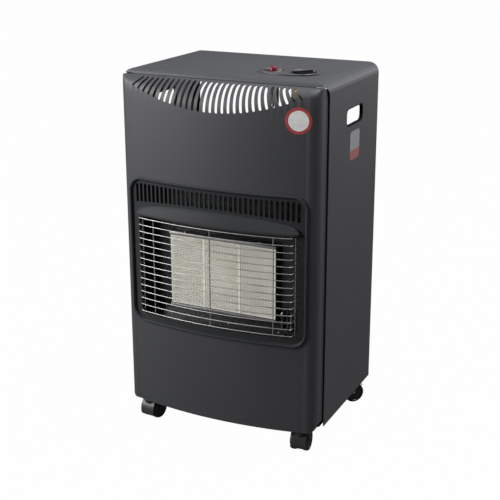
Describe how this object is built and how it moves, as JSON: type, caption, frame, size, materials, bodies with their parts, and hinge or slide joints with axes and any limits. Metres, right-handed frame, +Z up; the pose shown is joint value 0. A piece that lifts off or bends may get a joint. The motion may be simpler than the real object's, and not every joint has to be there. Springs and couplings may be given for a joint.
{
  "type": "portable gas cabinet heater",
  "caption": "Portable radiant gas cabinet heater on castors, with a wire-guarded ceramic burner and a gas cylinder compartment behind.",
  "frame": {"origin": "centre of the footprint on the floor", "axes": "+Z up, -Y the front with the burner, +X to the right seen from the front"},
  "size_m": [0.42, 0.3882, 0.7429],
  "materials": {
    "powder_coated_steel": "satin powder coat, charcoal grey",
    "surround_satin": "satin black enamel",
    "black_steel": "black, softly reflecting",
    "galvanised_steel": "galvanised",
    "bright_steel": "bright wire",
    "ceramic_plaque": "matt, pierced",
    "brass": "machined",
    "copper_pipe": "drawn",
    "white_ceramic": "glazed",
    "piezo_housing": "satin",
    "red_button": "gloss",
    "control_plastic": "satin",
    "knob_plastic": "satin",
    "castor_grey": "satin",
    "castor_socket": "satin",
    "wheel_black": "semi-gloss",
    "axle_steel": "plain"
  },
  "bodies": {
    "cabinet": {"base_tray": "powder_coated_steel", "burner_body_1": "galvanised_steel", "burner_body_2": "galvanised_steel", "burner_body_3": "galvanised_steel", "burner_bracket_left": "galvanised_steel", "burner_bracket_right": "galvanised_steel", "burner_guard": "bright_steel", "burner_rail_bottom": "bright_steel", "burner_rail_top": "bright_steel", "burner_reflector": "black_steel", "burner_surround": "surround_satin", "cabinet_shell": "powder_coated_steel", "castor_socket_front_left": "castor_socket", "castor_socket_front_right": "castor_socket", "castor_socket_rear_left": "castor_socket", "castor_socket_rear_right": "castor_socket", "ceramic_plaque_1": "ceramic_plaque", "ceramic_plaque_2": "ceramic_plaque", "ceramic_plaque_3": "ceramic_plaque", "control_bracket": "galvanised_steel", "control_plate": "control_plastic", "flue_deflector": "galvanised_steel", "front_panel": "powder_coated_steel", "gas_manifold": "brass", "gas_pipe_main": "copper_pipe", "gas_pipe_pilot": "copper_pipe", "handle_trim_left": "knob_plastic", "handle_trim_right": "knob_plastic", "heat_shield": "galvanised_steel", "hose_tail": "brass", "injector_1": "brass", "injector_2": "brass", "injector_3": "brass", "piezo_body": "piezo_housing", "pilot_bracket": "black_steel", "pilot_burner": "black_steel", "spark_electrode": "white_ceramic", "thermocouple": "galvanised_steel", "valve_body": "brass"},
    "rear_cover_lift": {"rear_cover": "powder_coated_steel"},
    "knob_turning": {"valve_plug": "brass"},
    "knob_pushing": {"valve_spindle": "galvanised_steel", "control_knob": "knob_plastic"},
    "ignition_button": {"piezo_button": "red_button"},
    "castor_front_left": {"castor_hood_front_left": "castor_grey", "castor_axle_front_left": "axle_steel"},
    "wheel_front_left_a": {"castor_wheel_front_left_a": "wheel_black"},
    "wheel_front_left_b": {"castor_wheel_front_left_b": "wheel_black"},
    "castor_front_right": {"castor_hood_front_right": "castor_grey", "castor_axle_front_right": "axle_steel"},
    "wheel_front_right_a": {"castor_wheel_front_right_a": "wheel_black"},
    "wheel_front_right_b": {"castor_wheel_front_right_b": "wheel_black"},
    "castor_rear_left": {"castor_hood_rear_left": "castor_grey", "castor_axle_rear_left": "axle_steel"},
    "wheel_rear_left_a": {"castor_wheel_rear_left_a": "wheel_black"},
    "wheel_rear_left_b": {"castor_wheel_rear_left_b": "wheel_black"},
    "castor_rear_right": {"castor_hood_rear_right": "castor_grey", "castor_axle_rear_right": "axle_steel"},
    "wheel_rear_right_a": {"castor_wheel_rear_right_a": "wheel_black"},
    "wheel_rear_right_b": {"castor_wheel_rear_right_b": "wheel_black"}
  },
  "joints": [
    {"name": "rear_cover_lift", "type": "slide", "parent": "cabinet", "child": "rear_cover_lift", "axis": [0, 0, 1], "range_m": [0, 0.02]},
    {"name": "knob_turn", "type": "hinge", "parent": "cabinet", "child": "knob_turning", "pos_m": [0.131, -0.0569, 0.74], "axis": [0, 0, 1], "range_deg": [0, 250]},
    {"name": "knob_push", "type": "slide", "parent": "knob_turning", "child": "knob_pushing", "axis": [0, 0, -1], "range_m": [0, 0.004], "stiffness_N_per_m": 600, "springref_m": -0.003},
    {"name": "ignition_push", "type": "slide", "parent": "cabinet", "child": "ignition_button", "axis": [0, 0, -1], "range_m": [0, 0.008], "stiffness_N_per_m": 500, "springref_m": -0.003},
    {"name": "castor_swivel_front_left", "type": "hinge", "parent": "cabinet", "child": "castor_front_left", "pos_m": [-0.17, -0.1449, 0.05], "axis": [0, 0, 1], "continuous": true},
    {"name": "wheel_roll_front_left_a", "type": "hinge", "parent": "castor_front_left", "child": "wheel_front_left_a", "pos_m": [-0.18001, -0.12957, 0.022], "axis": [0.9925, -0.1219, 0], "continuous": true},
    {"name": "wheel_roll_front_left_b", "type": "hinge", "parent": "castor_front_left", "child": "wheel_front_left_b", "pos_m": [-0.15658, -0.13244, 0.022], "axis": [0.9925, -0.1219, 0], "continuous": true},
    {"name": "castor_swivel_front_right", "type": "hinge", "parent": "cabinet", "child": "castor_front_right", "pos_m": [0.17, -0.1449, 0.05], "axis": [0, 0, 1], "continuous": true},
    {"name": "wheel_roll_front_right_a", "type": "hinge", "parent": "castor_front_right", "child": "wheel_front_right_a", "pos_m": [0.15637, -0.13268, 0.022], "axis": [0.9903, 0.1392, 0], "continuous": true},
    {"name": "wheel_roll_front_right_b", "type": "hinge", "parent": "castor_front_right", "child": "wheel_front_right_b", "pos_m": [0.17974, -0.12939, 0.022], "axis": [0.9903, 0.1392, 0], "continuous": true},
    {"name": "castor_swivel_rear_left", "type": "hinge", "parent": "cabinet", "child": "castor_rear_left", "pos_m": [-0.17, 0.1091, 0.05], "axis": [0, 0, 1], "continuous": true},
    {"name": "wheel_roll_rear_left_a", "type": "hinge", "parent": "castor_rear_left", "child": "wheel_rear_left_a", "pos_m": [-0.18647, 0.11709, 0.022], "axis": [0.9135, 0.4067, 0], "continuous": true},
    {"name": "wheel_roll_rear_left_b", "type": "hinge", "parent": "castor_rear_left", "child": "wheel_rear_left_b", "pos_m": [-0.16491, 0.12669, 0.022], "axis": [0.9135, 0.4067, 0], "continuous": true},
    {"name": "castor_swivel_rear_right", "type": "hinge", "parent": "cabinet", "child": "castor_rear_right", "pos_m": [0.17, 0.1091, 0.05], "axis": [0, 0, 1], "continuous": true},
    {"name": "wheel_roll_rear_right_a", "type": "hinge", "parent": "castor_rear_right", "child": "wheel_rear_right_a", "pos_m": [0.17251, 0.12724, 0.022], "axis": [0.6691, -0.7431, 0], "continuous": true},
    {"name": "wheel_roll_rear_right_b", "type": "hinge", "parent": "castor_rear_right", "child": "wheel_rear_right_b", "pos_m": [0.1883, 0.1097, 0.022], "axis": [0.6691, -0.7431, 0], "continuous": true}
  ]
}
